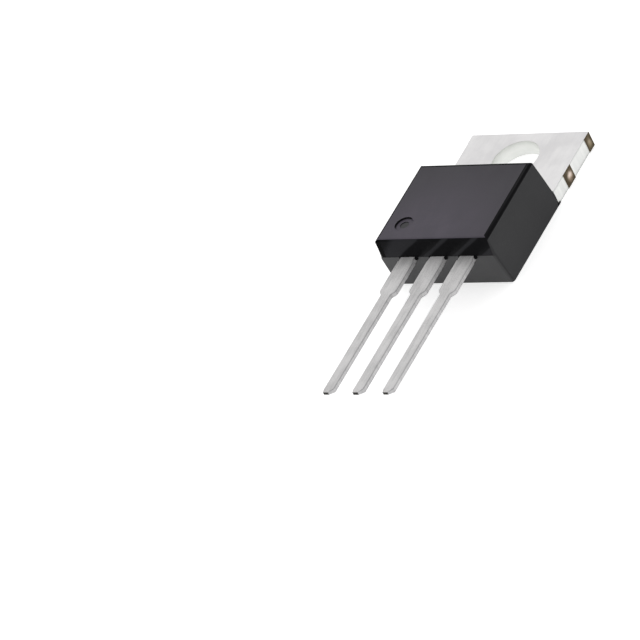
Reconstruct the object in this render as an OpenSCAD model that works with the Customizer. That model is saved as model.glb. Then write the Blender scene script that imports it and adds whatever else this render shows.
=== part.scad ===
// Power transistor in a moulded three-lead package with a drilled mounting tab.
// Millimetres. The origin is the centre of the mounting hole on the seating face of the tab.
// +Z is the moulded front, -Y the leads, +Y the free end of the tab, -X the base lead.

/* [Mounting tab] */
// how far each side of the tab stays inside the foot of the moulding
tab_inset = 0.02; // [0:0.01:0.1]
// thickness of the tab
tab_thickness = 1.28; // [1.16:0.02:1.4]
// hole centre to the free end of the tab
tab_end = 2.75; // [2.55:0.05:3.2]
// diameter of the mounting hole
hole_d = 3.84; // [3.54:0.02:4.04]
// hole centre to the shoulder where the moulding starts
shoulder = 3.8; // [3.6:0.05:4.2]
// width of the strip of moulding on each side of the tab's neck
side_strip = 0.85; // [0.6:0.05:1.2]
// lead end of the tab, measured from the shoulder
neck_length = 6; // [5.5:0.1:6.5]
// radius of the neck's corners
neck_corner = 0.6; // [0.3:0.05:1]
// length of the mould lock slot
slot_length = 3.3; // [2.4:0.1:3.8]
// width of the mould lock slot on the seating face
slot_width = 1; // [0.8:0.05:1.1]
// depth of the wide part of the slot
slot_depth = 0.6; // [0.4:0.05:0.8]
// width of the sheared ends near the moulding, where the tab was held in its row
strip_width = 1.28; // [1:0.02:1.4]
// hole centre to the moulding's side of those ends
strip_near = 2.1; // [1.8:0.01:2.4]
// length of the sheared ends at the tab's free corners
strip_far = 0.9; // [0.6:0.02:1.1]
// how far the sheared ends stand out from the edge
strip_proud = 0.04; // [0.02:0.01:0.1]

/* [Moulding] */
// full thickness from the seating face to the front
thickness = 4.55; // [4.3:0.05:4.8]
// shoulder to the lead end of the moulding at the parting line
mould_length = 8.8; // [8.6:0.05:9.2]
// width at the seating face
mould_width = 10.1; // [9.8:0.05:10.2]
// how much each side leans in up to the parting line
draft_low = 0.11; // [0.05:0.01:0.2]
// how much each side leans in from the parting line to the front
draft_high = 0.14; // [0.05:0.01:0.25]
// how far the lead end leans out from the seating face to the parting line
lean_back = 0.45; // [0.2:0.05:0.6]
// how far the lead end leans in above the parting line
lean_front = 0.15; // [0.05:0.01:0.3]
// how far the tab end leans in above the tab
lean_tab = 0.45; // [0.2:0.05:0.7]
// radius of the front edges
edge_r = 0.26; // [0.1:0.02:0.4]
// diameter of the ejector mark
ejector_d = 1.56; // [1:0.02:2]
// depth of the ejector mark
ejector_depth = 0.07; // [0.03:0.01:0.15]
// distance of the ejector mark from the lead end at the front face
ejector_in = 1.72; // [1.4:0.02:2.4]
// distance of the ejector mark from the centre line
ejector_side = 3.06; // [2:0.02:3.4]

/* [Leads] */
// spacing of the leads, centre to centre
pitch = 2.54; // [2.54:0.01:2.6]
// thickness of the lead metal
lead_thickness = 0.4; // [0.36:0.02:0.56]
// width of the narrow part
lead_width = 0.82; // [0.65:0.01:0.95]
// width of the part next to the moulding
root_width = 1.4; // [1.2:0.01:1.5]
// how far the root's sides step in right at the moulding
root_waist = 0.07; // [0.02:0.01:0.12]
// length of that narrower stretch
waist_length = 0.36; // [0.2:0.02:0.6]
// length of the part next to the moulding
root_length = 3.65; // [3:0.05:4]
// length of a lead outside the moulding
lead_length = 14.1; // [12.8:0.1:14.7]
// length of the bevel at the sheared tip
tip_bevel = 0.35; // [0.1:0.05:0.6]
// seating face to the back of the leads
lead_height = 2.6; // [2.3:0.05:2.7]
// slope of the bend that joins the middle lead to the tab
bend_angle = 60; // [50:1:70]
// width of the bond posts inside the moulding
post_width = 2.4; // [2:0.1:2.5]
// length of the bond posts
post_length = 1.5; // [1.3:0.1:1.6]

/* [Die and wires] */
// shoulder to the near edge of the square silicon die
die_setback = 1.6; // [1.2:0.1:1.8]
// far edge of the die to the lead end of the tab
die_margin = 0.8; // [0.5:0.1:1]
// thickness of the die
die_thickness = 0.28; // [0.2:0.01:0.4]
// thickness of the solder under the die
solder_thickness = 0.06; // [0.03:0.01:0.1]
// diameter of the emitter wires
emitter_wire_d = 0.38; // [0.25:0.01:0.4]
// diameter of the base wire
base_wire_d = 0.2; // [0.15:0.01:0.25]
// radius of the bends of the wires
wire_bend = 0.5; // [0.4:0.05:0.6]
// length of the flattened ends of the wires
foot_length = 0.7; // [0.6:0.05:0.8]
// bond on a post to the post's inner end
bond_inset = 0.35; // [0.3:0.05:0.5]
// gap between the tab's neck and the bond posts
post_gap = 0.4; // [0.3:0.05:0.6]
// centre line to the inner side of the bond posts
post_in = 1.5; // [1.4:0.05:1.7]

/* [Hidden] */
$fn = 32;
big = 40;
tab_width = mould_width - 2 * tab_inset;
half_tab = tab_width / 2;
neck_width = mould_width - 2 * side_strip;
neck_end = -shoulder - neck_length;
mould_end = -shoulder - mould_length;
parting = lead_height + lead_thickness;
lead_top = parting;
tip = mould_end - lead_length;
tip_step = lead_thickness * 0.2;
root_end = mould_end - root_length;
waist_end = mould_end - waist_length;
step_in = (root_width - lead_width) / 2;
side_parting = mould_width / 2 - draft_low;
side_front = side_parting - draft_high;
slot_y = -shoulder - slot_width * 0.07;
through_width = slot_width / 2;
post_end = neck_end - post_gap;
post_back = post_end - post_length;
post_cut = post_width / 8;
plan_in = post_back + post_cut;
bend_run = (parting - tab_thickness) / tan(bend_angle);
bend_shift = lead_thickness * tan(bend_angle / 2);
bend_start = neck_end - lead_thickness * 0.7;
collar = root_width * 1.66;
die_side = neck_length - die_setback - die_margin;
die_y = -shoulder - die_setback - die_side / 2;
die_base = tab_thickness + solder_thickness;
die_top = die_base + die_thickness;
rise = 45;
fall = 25;
solder_lip = die_side / 36;
wire_y = die_y - die_side * 0.08;
base_wire_y = die_y - die_side * 0.2;
bond_y = post_end - bond_inset;

// corner of a profile rounded with short flats, from one angle to another about a centre
function arc_steps(c, r, from, to, n) =
    [for (i = [0:n]) c + r * [cos(from + (to - from) * i / n), sin(from + (to - from) * i / n)]];

module extrude_x(w) {
    translate([-w / 2, 0, 0]) rotate([90, 0, 90]) linear_extrude(height = w) children();
}

module extrude_y(from, to) {
    translate([0, to, 0]) rotate([90, 0, 0]) linear_extrude(height = to - from) children();
}

// right half of the section seen along the leads, from the seating face up
side_lean = atan(draft_high / (thickness - parting));
side_circle = [side_front - edge_r * (1 / cos(side_lean) - tan(side_lean)), thickness - edge_r];
function half_section() = concat(
    [[0, 0], [mould_width / 2, 0], [side_parting, parting]],
    arc_steps(side_circle, edge_r, side_lean, 90, 5),
    [[0, thickness]]);

module cross_section() {
    polygon(half_section());
    mirror([1, 0]) polygon(half_section());
}

// section along the leads: drafted lead end, drafted tab end, rounded front edges
lead_lean = atan(lean_front / (thickness - parting));
lead_circle = [mould_end + lean_front + edge_r * (1 / cos(lead_lean) - tan(lead_lean)), thickness - edge_r];
tab_lean = atan(lean_tab / (thickness - tab_thickness));
tab_circle = [-shoulder - lean_tab - edge_r * (1 / cos(tab_lean) - tan(tab_lean)), thickness - edge_r];

module long_section() {
    polygon(concat(
        [[-shoulder, 0], [-shoulder, tab_thickness]],
        arc_steps(tab_circle, edge_r, tab_lean, 90, 5),
        arc_steps(lead_circle, edge_r, 90, 180 - lead_lean, 5),
        [[mould_end, parting], [mould_end + lean_back, 0]]));
}

module slot_plan(length, width) {
    r = width * 0.36;
    square([length - 2 * r, width], center = true);
    square([length, width - 2 * r], center = true);
    for (sx = [-1, 1], sy = [-1, 1])
        translate([sx * (length / 2 - r), sy * (width / 2 - r)]) circle(r = r);
}

// wide on the seating face, narrow below the moulding, so that the moulding can't lift off
module lock_slot(extra) {
    translate([0, slot_y, -extra])
        linear_extrude(height = slot_depth + extra) slot_plan(slot_length, slot_width);
    translate([0, slot_y - (slot_width - through_width) / 2, 0])
        linear_extrude(height = tab_thickness + extra) slot_plan(slot_length * 0.82, through_width);
}

module mould_body() {
    color([0.3, 0.29, 0.32])
    difference() {
        union() {
            intersection() {
                extrude_x(big) long_section();
                extrude_y(-big, big) cross_section();
            }
            lock_slot(0);
        }
        translate([-ejector_side, mould_end + lean_front + ejector_in, thickness - ejector_depth])
            cylinder(d = ejector_d, h = thickness);
        tab_blank();
        middle_lead();
        base_lead();
        emitter_lead();
        silicon_die();
        die_solder();
        base_wire();
        emitter_wire_inner();
        emitter_wire_outer();
    }
}

module tab_plan() {
    difference() {
        union() {
            translate([-half_tab, -shoulder]) square([tab_width, shoulder + tab_end]);
            translate([-neck_width / 2, neck_end + neck_corner])
                square([neck_width, neck_length]);
            translate([-neck_width / 2 + neck_corner, neck_end])
                square([neck_width - 2 * neck_corner, 2 * neck_corner]);
            for (s = [-1, 1]) {
                translate([s * (neck_width / 2 - neck_corner), neck_end + neck_corner]) circle(r = neck_corner);
                for (end = [[tab_end - strip_far, strip_far], [-strip_near, strip_width]])
                    translate([s * half_tab - strip_proud, end[0]]) square([2 * strip_proud, end[1]]);
            }
        }
        circle(d = hole_d, $fn = 64);
    }
}

module tab_blank() {
    difference() {
        linear_extrude(height = tab_thickness) tab_plan();
        lock_slot(0.5);
    }
}

// section of the middle lead: it leaves the tab's front surface and climbs to the other two
module middle_section() {
    low = tab_thickness - lead_thickness;
    polygon([[neck_end + neck_corner, low], [neck_end + neck_corner, tab_thickness],
             [bend_start + bend_shift, tab_thickness], [bend_start + bend_shift - bend_run, lead_top],
             [tip + tip_bevel, lead_top], [tip, lead_top - tip_step], [tip, lead_height + tip_step],
             [tip + tip_bevel, lead_height],
             [bend_start - bend_run, lead_height], [bend_start, low]]);
}

module middle_lead() {
    intersection() {
        extrude_x(big) middle_section();
        linear_extrude(height = thickness) {
            lead_plan();
            translate([-collar / 2, plan_in - post_cut / 2]) square([collar, neck_end + neck_length / 2 - plan_in]);
        }
    }
}

module collector_tab() {
    color([0.86, 0.86, 0.86]) {
        tab_blank();
        middle_lead();
    }
}

// one lead seen from the front, from inside the moulding to the bevelled tip
module lead_plan() {
    w = lead_width / 2;
    r = root_width / 2;
    n = r - root_waist;
    polygon([[-n, plan_in], [-n, waist_end], [-r, waist_end - root_waist], [-r, root_end],
             [-w, root_end - step_in], [-w, tip + tip_bevel], [-w * 0.55, tip],
             [w * 0.55, tip], [w, tip + tip_bevel], [w, root_end - step_in],
             [r, root_end], [r, waist_end - root_waist], [n, waist_end], [n, plan_in]]);
}

// section of an outer lead: flat metal, bevelled at the tip
module side_section() {
    polygon([[post_end, lead_height], [post_end, lead_top], [tip + tip_bevel, lead_top],
             [tip, lead_top - tip_step], [tip, lead_height + tip_step], [tip + tip_bevel, lead_height]]);
}

// flat lead with its bond post, on the emitter's side
module side_lead() {
    out = post_in + post_width;
    intersection() {
        extrude_x(big) side_section();
        linear_extrude(height = thickness) {
            translate([pitch, 0]) lead_plan();
            polygon([[post_in, post_back], [out - 1.6 * post_cut, post_back], [out, plan_in],
                     [out, post_end - post_cut], [out - post_cut, post_end], [post_in, post_end]]);
        }
    }
}

module base_lead() {
    color([0.8, 0.8, 0.8]) mirror([1, 0, 0]) side_lead();
}

module emitter_lead() {
    color([0.8, 0.8, 0.8]) side_lead();
}

module silicon_die() {
    color([0.35, 0.36, 0.4])
    translate([-die_side / 2, die_y - die_side / 2, die_base]) cube([die_side, die_side, die_thickness]);
}

module die_solder() {
    w = die_side + 2 * solder_lip;
    color([0.7, 0.7, 0.72])
    translate([-w / 2, die_y - w / 2, tab_thickness]) cube([w, w, solder_thickness]);
}

// round wire with flattened ends: it climbs from one surface, bends over and lands on another
module bond_wire(d, run, climb) {
    r = wire_bend;
    h = 0.55 * d;
    k = run - 2 * r * (sin(rise) + sin(fall));
    v = climb - 2 * r * (cos(fall) - cos(rise));
    up = (v * cos(fall) + k * sin(fall)) / sin(rise + fall);
    down = (k * sin(rise) - v * cos(rise)) / sin(rise + fall);
    x1 = r * sin(rise);
    z1 = r * (1 - cos(rise));
    x2 = x1 + up * cos(rise);
    z2 = z1 + up * sin(rise);
    x3 = x2 + r * (sin(rise) + sin(fall));
    z3 = z2 + r * (cos(fall) - cos(rise));
    x4 = x3 + down * cos(fall);
    z4 = z3 - down * sin(fall);
    foot(d);
    translate([run, 0, climb]) mirror([1, 0, 0]) foot(d);
    translate([0, 0, h]) {
        straight(d, [-foot_length / 2, 0], 0, foot_length / 2);
        turn(d, [0, r], -90, rise);
        straight(d, [x1, z1], rise, up);
        turn(d, [x2 + r * sin(rise), z2 - r * cos(rise)], 90 - fall, rise + fall);
        straight(d, [x3, z3], -fall, down);
        turn(d, [run, climb + r], -90 - fall, fall);
        straight(d, [run, climb], 0, foot_length / 2);
    }
}

// straight length of wire from a point in the wire's own plane; its ends sit inside the bends
module straight(d, at, slope, length) {
    translate([at[0], 0, at[1]]) rotate([0, 90 - slope, 0]) translate([0, 0, -0.02])
        cylinder(d = d * 0.97, h = length + 0.04);
}

// bend of the wire: part of a ring about a centre in the wire's own plane
module turn(d, at, start, sweep) {
    translate([at[0], 0, at[1]]) rotate([90, 0, 0]) rotate([0, 0, start])
        rotate_extrude(angle = sweep) translate([wire_bend, 0]) circle(d = d);
}

module foot(d) {
    translate([-foot_length, -0.75 * d, 0]) cube([foot_length, 1.5 * d, 0.7 * d]);
}

// wire from a point on the die to a point on a bond post
module wire_between(d, from, to) {
    run = norm(to - from);
    translate([from[0], from[1], die_top]) rotate([0, 0, atan2(to[1] - from[1], to[0] - from[0])])
        bond_wire(d, run, lead_top - die_top);
}

module base_wire() {
    color([0.85, 0.85, 0.87])
    wire_between(base_wire_d, [-die_side / 4, base_wire_y], [-post_in - post_width * 0.42, bond_y]);
}

module emitter_wire_inner() {
    color([0.85, 0.85, 0.87])
    wire_between(emitter_wire_d, [die_side / 10, wire_y], [post_in + post_width * 0.23, bond_y]);
}

module emitter_wire_outer() {
    color([0.85, 0.85, 0.87])
    wire_between(emitter_wire_d, [die_side * 0.35, wire_y], [post_in + post_width * 0.67, bond_y]);
}

mould_body();
collector_tab();
base_lead();
emitter_lead();
silicon_die();
die_solder();
base_wire();
emitter_wire_inner();
emitter_wire_outer();
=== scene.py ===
import bpy, bmesh
from math import radians
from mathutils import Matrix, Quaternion, Vector


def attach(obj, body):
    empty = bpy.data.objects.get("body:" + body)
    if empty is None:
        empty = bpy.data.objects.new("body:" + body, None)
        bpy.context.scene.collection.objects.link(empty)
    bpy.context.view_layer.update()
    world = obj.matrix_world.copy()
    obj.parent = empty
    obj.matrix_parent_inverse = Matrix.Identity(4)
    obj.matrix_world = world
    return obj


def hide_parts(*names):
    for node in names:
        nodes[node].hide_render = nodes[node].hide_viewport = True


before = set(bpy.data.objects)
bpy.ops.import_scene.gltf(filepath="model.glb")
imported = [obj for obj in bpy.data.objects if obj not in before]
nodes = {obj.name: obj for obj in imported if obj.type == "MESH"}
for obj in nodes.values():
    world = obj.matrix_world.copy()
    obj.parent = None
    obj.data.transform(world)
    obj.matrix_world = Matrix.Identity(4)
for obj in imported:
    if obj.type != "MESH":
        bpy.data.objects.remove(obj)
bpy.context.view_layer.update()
scene = bpy.context.scene
scene.view_settings.view_transform = "Standard"

# The camera: a long lens that looks down on the part from beside its leads. It is turned about its
# own axis, so that the leads run to the lower left of the picture as they do in the photograph.
towards_camera, camera_turn = Vector((0.572363, -0.605396, 0.553079)), -28.258
camera_data = bpy.data.cameras.new("camera")
camera_data.sensor_width, camera_data.lens = 36, 323.2
camera_data.clip_start, camera_data.clip_end = 0.02, 20
camera = bpy.data.objects.new("camera", camera_data)
camera.location = (0.228924, -0.268635, 0.230875)
camera_roll = Quaternion((0, 0, 1), radians(camera_turn))
camera.rotation_mode = "QUATERNION"
camera.rotation_quaternion = towards_camera.to_track_quat("Z", "Y") @ camera_roll
scene.collection.objects.link(camera)
scene.camera = camera

# The studio: an even white sky, brightest beyond the tab and weaker towards the camera, with one
# faint broad lamp overhead. So the moulding's front is lighter than its side, and its edges dark.
to_window = Vector((-0.62, 0.50, 0.60)).normalized()
weakest_sky, brighter_by = 0.48, 0.44
lamp_place, lamp_width, lamp_watts = Vector((-0.12, 0.10, 0.32)), 0.30, 0.03


class Value:
    """What a socket carries, so that a pattern reads as arithmetic; node() adds any other node."""
    def __init__(self, tree, socket=None):
        self.tree, self.socket = tree, socket

    def node(self, kind, sockets=None, out=0, **settings):
        made = self.tree.nodes.new("ShaderNode" + kind)
        for name, setting in settings.items():
            setattr(made, name, setting)
        for name, given in (sockets or {}).items():
            if isinstance(given, Value):
                self.tree.links.new(given.socket, made.inputs[name])
            elif made.inputs[name].type == "RGBA":
                made.inputs[name].default_value = (*given, 1)
            else:
                made.inputs[name].default_value = given
        return Value(self.tree, made.outputs[out])

    def maths(self, operation, other=0.0):
        return self.node("Math", {0: self, 1: other}, operation=operation)

    def __add__(self, other): return self.maths("ADD", other)
    def __mul__(self, other): return self.maths("MULTIPLY", other)
    def __sub__(self, other): return self.maths("SUBTRACT", other)
    def __rsub__(self, other): return self.node("Math", {0: other, 1: self}, operation="SUBTRACT")
    def __gt__(self, other): return self.maths("GREATER_THAN", other)
    def __lt__(self, other): return self.maths("LESS_THAN", other)
    __radd__, __rmul__ = __add__, __mul__

    def between(self, low, high):
        """0 at low, 1 at high, and smooth between them."""
        return self.node("MapRange", {"Value": self, "From Min": low, "From Max": high},
                         interpolation_type="SMOOTHSTEP")

    def length_with(self, other):
        """The length of a step of this much one way and the other square to it."""
        return (self * self + other * other).maths("SQRT")

    def noise(self, scale, detail=3.0, stretch=None, roughness=0.5):
        place = self.node("Mapping", {"Vector": self, "Scale": stretch}) if stretch else self
        sockets = {"Vector": place, "Scale": scale, "Detail": detail, "Roughness": roughness}
        return place.node("TexNoise", sockets)

    # A Mix node has a pair of sockets for each kind: 6 and 7 take colours, and 2 and 3 numbers.
    def mix(self, first, second):
        """The first colour where this is 0 and the second where it is 1."""
        return self.node("Mix", {0: self, 6: first, 7: second}, out=2, data_type="RGBA")

    def choose(self, first, second):
        """The first number where this is 0 and the second where it is 1."""
        return self.node("Mix", {0: self, 2: first, 3: second})

    def bump(self, height, strength, distance):
        """The relief of a surface, for its Normal socket."""
        return self.node("Bump", {"Height": height, "Strength": strength, "Distance": distance})


world = bpy.data.worlds.new("studio")
world.use_nodes = True
scene.world = world
background = world.node_tree.nodes["Background"].inputs
direction = Value(world.node_tree).node("TexCoord", out="Generated")
facing_window = direction.node("VectorMath", {0: direction, 1: to_window}, out="Value",
                               operation="DOT_PRODUCT")
sky = facing_window.between(-0.35, 0.80) * brighter_by + weakest_sky
world.node_tree.links.new(sky.socket, background["Strength"])
background["Color"].default_value = (1, 1, 1, 1)

lamp_data = bpy.data.lights.new("overhead", "AREA")
lamp_data.shape, lamp_data.size, lamp_data.energy = "DISK", lamp_width, lamp_watts
lamp = bpy.data.objects.new("overhead", lamp_data)
lamp.location = lamp_place
lamp.rotation_euler = (-lamp.location).to_track_quat("-Z", "Y").to_euler()
scene.collection.objects.link(lamp)

# The table: white paper that the camera and the metal see as white, and that keeps a soft shadow.
# It lies a hair under the part and reaches past every view.
paper_reach, hair, paper_glow = 3, 0.00001, 0.62
floor_mesh = bpy.data.meshes.new("floor")
shape = bmesh.new()
bmesh.ops.create_circle(shape, cap_ends=True, radius=paper_reach, segments=96)
bmesh.ops.translate(shape, vec=(0, 0, -hair), verts=shape.verts)
shape.to_mesh(floor_mesh)
shape.free()
floor = bpy.data.objects.new("floor", floor_mesh)
scene.collection.objects.link(floor)

paper = bpy.data.materials.new("white_paper")
paper.use_nodes = True
tree = paper.node_tree
tree.nodes.remove(tree.nodes["Principled BSDF"])
rays = tree.nodes.new("ShaderNodeLightPath").outputs
camera_ray, glossy_ray, through_ray = (
    Value(tree, rays[name]) for name in ("Is Camera Ray", "Is Glossy Ray", "Is Transmission Ray"))
seen = camera_ray.maths("MAXIMUM", glossy_ray).maths("MAXIMUM", through_ray)
dull = seen.node("BsdfDiffuse", {"Color": (0.8, 0.8, 0.8)})
glow = seen.node("Emission", {"Color": (1, 1, 1), "Strength": seen * paper_glow})
surface = dull.node("AddShader", {0: dull, 1: glow})
tree.links.new(surface.socket, tree.nodes["Material Output"].inputs["Surface"])
floor_mesh.materials.append(paper)

# The moulded body: filled epoxy compound, pressed round the metal in a two-part mould. The flats
# of the mould are spark-eroded and leave it matt; the front's rounded edges and the band over the
# leads were polished, and their near-black colour is painted shade for the dark that the polish
# would mirror. Thin flash stays where the mould met the metal.
front, parting, lead_end, shoulder, half_mould, pitch = 4.55, 3.0, -12.6, -3.8, 5.05, 2.54
to_millimetres, merge_gap = 1000.0, 0.0005
fine_relief, coarse_relief = 0.00001, 0.00002


def new_finish(name, metallic, roughness, specular=0.5):
    """A material; returns it, its pattern's place on the piece, and a call that fills a socket."""
    material = bpy.data.materials.new(name)
    material.use_nodes = True
    shader = material.node_tree.nodes["Principled BSDF"]
    shader.inputs["Metallic"].default_value = metallic
    shader.inputs["Roughness"].default_value = roughness
    shader.inputs["Specular IOR Level"].default_value = specular
    place = Value(material.node_tree).node("TexCoord", out="Object")

    def fill(socket, value):
        material.node_tree.links.new(value.socket, shader.inputs[socket])
    return material, place, fill


def axis(place, out):
    """One coordinate of a place, in millimetres."""
    return place.node("SeparateXYZ", {0: place}, out=out) * to_millimetres


def eroded(place):
    """The cloudy tone and the fine grain that the mould's spark-eroded flats leave."""
    return place.noise(420.0, 5.0, roughness=0.6), place.noise(15000.0, 4.0, roughness=0.7)


matt_compound, place, fill = new_finish("matt_compound", 0.0, 0.45, specular=0.52)
lit_spot_x, face_depth = -1.0, 0.15
x, y, z = axis(place, "X"), axis(place, "Y"), axis(place, "Z")
cloud, grain = eroded(place)
flow = place.noise(1.0, 4.0, stretch=(900.0, 260.0, 700.0))
tone = (cloud * 0.6 + flow * 0.4).between(0.3, 0.7)
# The front is painted darker with distance from a spot near the leads: painted shade, for the sky's
# reflection fading across the face.
from_lit_spot = (x - lit_spot_x).length_with(y - lead_end)
front_tone_where_lit = tone.mix((0.028, 0.020, 0.039), (0.056, 0.045, 0.068))
front_tone = from_lit_spot.between(1.5, 9.5).mix(front_tone_where_lit, (0.010, 0.006, 0.015))
end_tone = tone.mix((0.011, 0.011, 0.013), (0.020, 0.020, 0.022))
on_front = z > front - face_depth
fill("Base Color", on_front.mix(end_tone, front_tone))
fill("Roughness", tone * 0.10 + grain * 0.10 + 0.36)
fill("Normal", place.bump(grain, 0.35, fine_relief))

matt_sides, place, fill = new_finish("compound_walls", 0.0, 0.55, specular=0.26)
cloud, grain = eroded(place)
tone = cloud.between(0.3, 0.7)
speck = place.noise(5200.0, 2.0).between(0.62, 0.74)
# The side is painted lighter towards the lead end: painted light, for the floor's reflection there.
painted_light_to_leads = axis(place, "Y").between(-4.5, lead_end)
lightness = tone * 0.7 + speck * 0.5 + painted_light_to_leads * 0.45 - 0.15
fill("Base Color", lightness.mix((0.019, 0.019, 0.021), (0.036, 0.036, 0.038)))
fill("Roughness", tone * 0.12 + grain * 0.10 + 0.46)
fill("Normal", place.bump(grain, 0.4, fine_relief))

# The polished band over the leads has paler slanting streaks, one to each step from lead to lead,
# with a broader one at the base lead's side and a pale wedge at the other corner: painted
# reflections of the leads in the polish.
polished_shaded, place, fill = new_finish("polished_shaded_compound", 0.0, 0.25, specular=0.03)
full_turn, left_corner, reflection_slant, broad_reflection_slant = 6.2832, -4.4, 1.5, 0.82
x, y, up = axis(place, "X"), axis(place, "Y"), axis(place, "Z") - parting
smear_and_sheen = place.noise(700.0, 3.0)
along = x - up * reflection_slant + 1.03 + (smear_and_sheen - 0.5) * 0.25
lead_reflections = (along * (full_turn / pitch)).maths("COSINE").between(0.62, 1.0) * (along > -3.5)
broad_reflection = along.between(-2.15, -2.6) * (x - up * broad_reflection_slant + 4.79).between(-0.3, 0.5)
reflection_wedge = along.between(4.8, 5.2)
painted_reflection = lead_reflections.maths("MAXIMUM", broad_reflection).maths("MAXIMUM", reflection_wedge) * 0.85 + smear_and_sheen * 0.1
within_band = (up > 0.05) * (up < front - parting - 0.06) * (y < lead_end + 0.5)
right_of_corner = x > left_corner
# The band's near-black colour is painted shade, darkest left of the corner.
dark = right_of_corner.mix((0.0008, 0.0008, 0.0010), (0.0076, 0.0076, 0.0084))
fill("Base Color", (painted_reflection * within_band * right_of_corner).mix(dark, (0.034, 0.034, 0.038)))
fill("Roughness", smear_and_sheen * 0.14 + 0.16)
fill("Normal", place.bump(smear_and_sheen, 0.2, coarse_relief))


def merged_copy(name):
    """The solid of a CAD node as one closed mesh in millimetres, its flat faces whole again."""
    shape = bmesh.new()
    shape.from_mesh(nodes[name].data)
    bmesh.ops.scale(shape, vec=[to_millimetres] * 3, verts=shape.verts)
    bmesh.ops.remove_doubles(shape, verts=shape.verts, dist=merge_gap)
    bmesh.ops.dissolve_limit(shape, angle_limit=radians(0.5), verts=shape.verts,
                             edges=shape.edges)
    return shape


def turns_by(edge, degrees):
    """Whether the surface turns by more than this at an edge."""
    return edge.calc_face_angle(0) > radians(degrees)


def run_and_middle(edge):
    """The way from one end of an edge to the other, and the point half-way."""
    start, end = edge.verts[0].co, edge.verts[1].co
    return end - start, (start + end) / 2


def is_upright(run):
    return abs(run.z) > 0.9 * run.length


def round_off(shape, edges, offset, segments, clamp_overlap=False):
    """Rounds edges; offset is how far the rounding reaches from each."""
    bmesh.ops.bevel(shape, geom=edges, offset=offset, segments=segments, profile=0.5,
                    affect="EDGES", material=-1, clamp_overlap=clamp_overlap)


def at_lead_end(at):
    return at.y < lead_end + 0.5


def upper_at_leads(at, upright):
    return upright and at_lead_end(at) and abs(at.x) > 4.7 and at.z > parting


def lower_left_at_leads(at, upright):
    return upright and at_lead_end(at) and at.x < -4.7 and at.z < parting


def lower_right_at_leads(at, upright):
    return upright and at_lead_end(at) and at.x > 4.7 and at.z < parting


def tab_end_uprights(at, upright):
    return upright and at.y > shoulder - 0.6 and abs(at.x) > 4.6


def foot(at, upright):
    return at.z < 0.01 and (abs(at.x) > half_mould - 0.1 or at_lead_end(at))


# The long outer edges are rounded as the mould was, each group by its own amount.
shape = merged_copy("mould_body")
for chosen, offset in ((upper_at_leads, 0.24), (lower_left_at_leads, 0.08),
                       (lower_right_at_leads, 0.28), (tab_end_uprights, 0.09), (foot, 0.09)):
    edges = []
    for edge in shape.edges:
        run, middle = run_and_middle(edge)
        outside = run.length > 0.3 and edge.is_convex and turns_by(edge, 20)
        if outside and chosen(middle, is_upright(run)):
            edges.append(edge)
    round_off(shape, edges, offset, 4)

# The flat of the front ends in a thin line with the near-black finish: painted shade that widens
# the dark of the rounded edge. It leaves out the ejector's mark, the part above the leads and the
# base lead's side.
mark, mark_radius, mark_floor = Vector((-3.06, -10.73, front)), 0.78, front - 0.07
line_width, rounding_reach = 0.055, 0.27
flat = [face for face in shape.faces
        if face.calc_center_median().z > front - 0.001 and face.normal.z > 0.99]
border = bmesh.ops.inset_region(shape, faces=flat, thickness=line_width, use_boundary=True,
                                use_even_offset=True)["faces"]
dark_edge_line = set()
for face in border:
    centre = face.calc_center_median()
    clear_of_mark = (centre - mark).length > mark_radius + 0.1
    if clear_of_mark and centre.y > lead_end + 0.6 and centre.x > left_corner:
        dark_edge_line.add(face)

# The ejector pin left a dished mark with soft walls, and the pit of its centre inside it.
rim, wall_foot, deeper, near = 0.95, 0.86, 0.05, 0.01
pit_inset, pit_wall, pit_depth = 0.31, 0.025, 0.04
for vert in shape.verts:
    from_mark = (vert.co - mark).to_2d()
    if vert.co.z > mark_floor - near and from_mark.length < mark_radius + near:
        sunk = vert.co.z < mark_floor + near
        vert.co.xy = mark.xy + from_mark * (wall_foot if sunk else rim)
        vert.co.z -= deeper if sunk else 0
dish = [face for face in shape.faces if (face.calc_center_median() - mark).length < 0.25]
for inset in (pit_inset, pit_wall):
    bmesh.ops.inset_region(shape, faces=dish, thickness=inset, use_even_offset=True)
bmesh.ops.translate(shape, vec=(0, 0, -pit_depth),
                    verts=list({vert for face in dish for vert in face.verts}))

# Each face gets its finish by where it is and which way it faces.
compound = [matt_compound, matt_sides, polished_shaded]
for face in shape.faces:
    centre, facing = face.calc_center_median(), face.normal
    in_mark = (centre - mark).length < mark_radius + 0.02
    above_leads = facing.y < -0.1 and abs(facing.x) < 0.15
    still_matt = 0.82 if above_leads else 0.992
    if in_mark:
        # Inside the mark, the walls that face away from the light get the near-black finish: a
        # painted shadow in the recess.
        polished_or_shaded = facing.z < 0.6 and facing.x - facing.y > 0.35
    else:
        rounded = centre.z > front - rounding_reach and 0.2 < facing.z < still_matt
        towards_leads = facing.y < (-0.2 if centre.x < 0 else -0.7)
        band = towards_leads and parting < centre.z and facing.z < still_matt
        tab_corner = facing.y > 0.3 and abs(facing.x) > 0.3
        polished_or_shaded = rounded or band or tab_corner or face in dark_edge_line
    matt = matt_sides if abs(facing.x) > 0.7 else matt_compound
    face.material_index = compound.index(polished_shaded if polished_or_shaded else matt)


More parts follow.
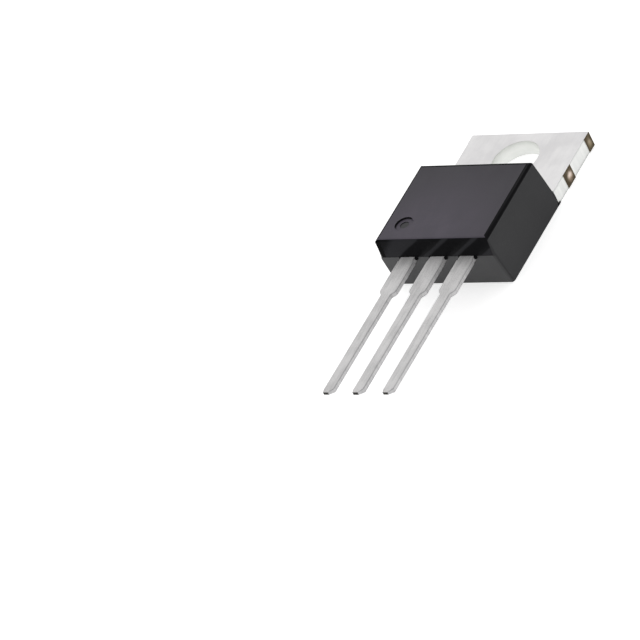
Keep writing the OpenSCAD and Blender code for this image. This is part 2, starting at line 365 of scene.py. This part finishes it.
def flash(size, place, turn=0.0):
    """A scrap of flash: a small block with its edges rounded off."""
    before = set(shape.verts)
    scrap = bmesh.ops.create_cube(shape, size=1)["verts"]
    bmesh.ops.scale(shape, vec=size, verts=scrap)
    edges = {edge for vert in scrap for edge in vert.link_edges}
    round_off(shape, list(edges), min(size) * 0.22, 2)
    scrap = [vert for vert in shape.verts if vert not in before]
    turned = Quaternion((0, 0, 1), radians(turn)).to_matrix()
    bmesh.ops.rotate(shape, cent=(0, 0, 0), matrix=turned, verts=scrap)
    bmesh.ops.translate(shape, vec=place, verts=scrap)
    for face in {face for vert in scrap for face in vert.link_faces}:
        face.material_index = compound.index(polished_shaded)


thick_scrap, thin_scrap, foot_scrap = (0.22, 0.20, 0.24), (0.12, 0.12, 0.12), (0.12, 0.46, 0.17)
for lead in (-pitch, 0, pitch):
    flash(thick_scrap, (lead + 0.72, lead_end - 0.02, parting - 0.12), 5)
    flash(thin_scrap, (lead - 0.68, lead_end + 0.01, parting - 0.05), -12)
for side in (-1, 1):
    flash(foot_scrap, (side * 5.008, shoulder + 0.02, 0.09))


def finish_piece(shape, name, materials, replaced):
    """Puts a shape into the scene in metres, on the part's one body, in place of its CAD node."""
    bmesh.ops.remove_doubles(shape, verts=shape.verts, dist=merge_gap)
    bmesh.ops.dissolve_degenerate(shape, edges=shape.edges, dist=merge_gap)
    bmesh.ops.scale(shape, vec=[1 / to_millimetres] * 3, verts=shape.verts)
    for face in shape.faces:
        face.smooth = True
    for edge in shape.edges:
        edge.smooth = not turns_by(edge, 35)
    mesh = bpy.data.meshes.new(name)
    shape.to_mesh(mesh)
    shape.free()
    piece = bpy.data.objects.new(name, mesh)
    scene.collection.objects.link(piece)
    for material in materials:
        mesh.materials.append(material)
    level = piece.modifiers.new("flat_faces", "WEIGHTED_NORMAL")
    level.keep_sharp = True
    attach(piece, "root")
    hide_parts(replaced)


finish_piece(shape, "moulded_body", compound, "mould_body")

# The tab and the middle lead: one piece of copper strip, thick at the tab and thin at the lead,
# stamped, bent and bright-plated. Its sides keep the streaks of the punch, and bare copper shows
# where the tab was broken out of the strip last.
half_tab, tab_thickness, hole_radius = 5.03, 1.28, 1.92
tip, root_end, lead_back, lead_thickness = -26.7, -16.25, 2.6, 0.4
tip_slant, root_corner, front_rolling, slight_easing = 0.15, 0.16, 0.075, 0.03


def plate(name, light, dark, roughness, along, metallic=1.0, lined=0.2, specked=0.0):
    """The face of plated strip: cloudy, with fine lines along the way that it was rolled."""
    material, place, fill = new_finish(name, metallic, roughness)
    cloud = place.noise(520.0, 6.0, roughness=0.62)
    patch = place.noise(150.0, 3.0)
    lines = place.noise(1.0, 5.0, stretch=along, roughness=0.65)
    speck = (place.noise(12000.0, 2.0) - 0.5) * specked
    tone = (cloud * 0.4 + patch * (0.6 - lined) + lines * lined + speck).between(0.36, 0.62)
    fill("Base Color", tone.mix(dark, light))
    fill("Roughness", cloud * 0.12 + lines * 0.12 + (roughness - 0.12))
    fill("Normal", place.bump(lines * 0.7 + cloud * 0.3, 0.35, fine_relief))
    return material


def punched(name, back, thickness, light, dark, metallic=1.0, rolled=0.89):
    """The side of the strip: rolled over at the front, then burnished by the punch, then tearing at
    the back; the dark line along the roll-over is painted shade.
    """
    material, place, fill = new_finish(name, metallic, 0.4)
    drag = place.noise(1.0, 4.0, stretch=(1500.0, 3600.0, 300.0), roughness=0.6)
    depth = (axis(place, "Z") - back) * (1 / thickness) + drag * 0.12 - 0.06
    painted_edge_shade = depth.between(rolled - 0.06, rolled + 0.05)
    torn_and_edge_shade = depth.between(0.16, 0.06).maths("MAXIMUM", painted_edge_shade)
    tone = drag.between(0.3, 0.7) * 0.4 + (1.0 - torn_and_edge_shade) * 0.6
    fill("Base Color", tone.mix(dark, light))
    fill("Roughness", torn_and_edge_shade * 0.16 + drag * 0.14 + 0.30)
    fill("Normal", place.bump(drag, 0.35, coarse_relief))
    return material


rolled_along, lead_rolled_along = (2600.0, 420.0, 900.0), (5200.0, 420.0, 900.0)
tab_plate = plate("tab_plate", (0.83, 0.82, 0.82), (0.71, 0.70, 0.705), 0.36, rolled_along)
tab_sides = punched("tab_sides", 0.0, tab_thickness, (0.79, 0.795, 0.78), (0.59, 0.60, 0.59))
hole_wall = plate("hole_wall", (0.84, 0.85, 0.825), (0.75, 0.76, 0.735), 0.42,
                  (400.0, 400.0, 3000.0))
lead_plate = plate("lead_plate", (0.74, 0.73, 0.73), (0.53, 0.525, 0.525), 0.50,
                   lead_rolled_along, metallic=0.35, lined=0.42, specked=0.35)
lead_sides = punched("lead_sides", lead_back, lead_thickness, (0.84, 0.83, 0.83),
                     (0.38, 0.38, 0.39), metallic=0.2, rolled=0.76)

# Bare copper: torn and dull all round, and lighter in the middle of each cut, where a painted
# highlight lies. The highlight on the cut beside the hole is the brightest, and the leads' cut tips
# are nearly black.
bare_copper, place, fill = new_finish("bare_copper", 1.0, 0.45)
hole_cut, corner_cut = -1.36, 2.3
y, z = axis(place, "Y"), axis(place, "Z")
tear = place.noise(1.0, 5.0, stretch=(900.0, 2100.0, 2600.0), roughness=0.65)
at_hole = y < 0.5
across = at_hole.choose((y - corner_cut) * 2.6, (y - hole_cut) * 1.75).maths("ABSOLUTE")
lighter_middle = (across.length_with((z - 0.60) * 1.75) + tear * 0.8 - 0.40).between(1.0, 0.15)
middle_copper = at_hole.mix((0.27, 0.215, 0.135), (0.36, 0.275, 0.20))
copper = lighter_middle.mix((0.070, 0.052, 0.028), middle_copper)
from_highlight = ((z - 0.70) * (z - 0.70) * 4.8 + across * across * 0.8).maths("SQRT")
painted_highlight = (from_highlight + tear * 0.9 - 0.42).between(0.75, 0.08) * (at_hole * 0.66 + 0.14)
cut_tip = y < -20.0
fill("Base Color", cut_tip.mix(painted_highlight.mix(copper, (0.86, 0.74, 0.66)), (0.035, 0.033, 0.030)))
fill("Roughness", tear * 0.3 + 0.30)
fill("Normal", place.bump(tear, 0.7, 0.00003))
metals = [tab_plate, tab_sides, lead_plate, lead_sides, bare_copper, hole_wall]


def sheared_tips(shape):
    """The shear came down at a slant, so that each tip's cut end is off to the base lead's side."""
    for vert in shape.verts:
        if vert.co.y < tip + 0.01:
            vert.co.x -= tip_slant


def rounded_roots(shape):
    """The wide root of a lead ends in round corners, where the punch for the tie bars had them."""
    corners = []
    for edge in shape.edges:
        run, middle = run_and_middle(edge)
        at_root_end = root_end - 0.6 < middle.y < root_end + 0.3
        if is_upright(run) and at_root_end and edge.is_convex:
            corners.append(edge)
    round_off(shape, corners, root_corner, 3)


def eased_edges(shape):
    """Rounds the strip's edges: rolled over widely on the leads' front, a little elsewhere."""
    lead_front = lead_back + lead_thickness
    rolled = [edge for edge in shape.edges if turns_by(edge, 25) and edge.is_convex
              and min(vert.co.z for vert in edge.verts) > lead_front - 0.01]
    round_off(shape, rolled, front_rolling, 3)
    others = [edge for edge in shape.edges if turns_by(edge, 40) and edge.is_convex]
    round_off(shape, others, slight_easing, 2, clamp_overlap=True)


def lay_metals(shape):
    """Gives each face of the strip its finish, by where it is and which way it faces."""
    for face in shape.faces:
        centre, side = face.calc_center_median(), abs(face.normal.z) < 0.6
        if abs(centre.x) > half_tab + 0.02 and side or centre.y < tip + 0.01:
            finish = bare_copper
        elif side and centre.xy.length < hole_radius + 0.02:
            finish = hole_wall
        elif centre.z > lead_back - 0.1:
            finish = lead_sides if side else lead_plate
        else:
            finish = tab_sides if side else tab_plate
        face.material_index = metals.index(finish)


def stamped(node, name):
    """Dresses one piece of the stamped strip in place of its CAD node."""
    shape = merged_copy(node)
    sheared_tips(shape)
    rounded_roots(shape)
    eased_edges(shape)
    lay_metals(shape)
    finish_piece(shape, name, metals, node)


stamped("collector_tab", "tab_and_middle_lead")

# The outer leads: flat copper, wide next to the moulding where the strip's tie bars were cut away,
# then narrow, plated all over and sheared to a bevelled tip.
stamped("base_lead", "plated_base_lead")
stamped("emitter_lead", "plated_emitter_lead")

# Inside the moulding: the silicon die, soldered on to the tab, and the aluminium wires bonded from
# the die to the two outer leads.
silicon, place, fill = new_finish("die_silicon", 0.6, 0.2)
half_turn, cell = 3.14, 0.1
x, y = axis(place, "X") * (half_turn / cell), axis(place, "Y") * (half_turn / cell)
cells = x.maths("SINE") * y.maths("SINE")
fill("Base Color", cells.between(-0.2, 0.2).mix((0.10, 0.10, 0.13), (0.30, 0.29, 0.30)))

solder, place, fill = new_finish("soft_solder", 1.0, 0.45)
ripple = place.noise(1800.0, 3.0)
fill("Base Color", ripple.mix((0.42, 0.42, 0.43), (0.60, 0.60, 0.60)))
fill("Normal", place.bump(ripple, 0.4, coarse_relief))

bond_wire, place, fill = new_finish("drawn_aluminium", 1.0, 0.35)
drawn = place.noise(6000.0, 3.0)
fill("Base Color", drawn.mix((0.72, 0.72, 0.73), (0.86, 0.86, 0.86)))
fill("Roughness", drawn * 0.2 + 0.25)

for name, material in (("silicon_die", silicon), ("die_solder", solder), ("base_wire", bond_wire),
                       ("emitter_wire_inner", bond_wire), ("emitter_wire_outer", bond_wire)):
    for material_slot in nodes[name].material_slots:
        material_slot.material = material
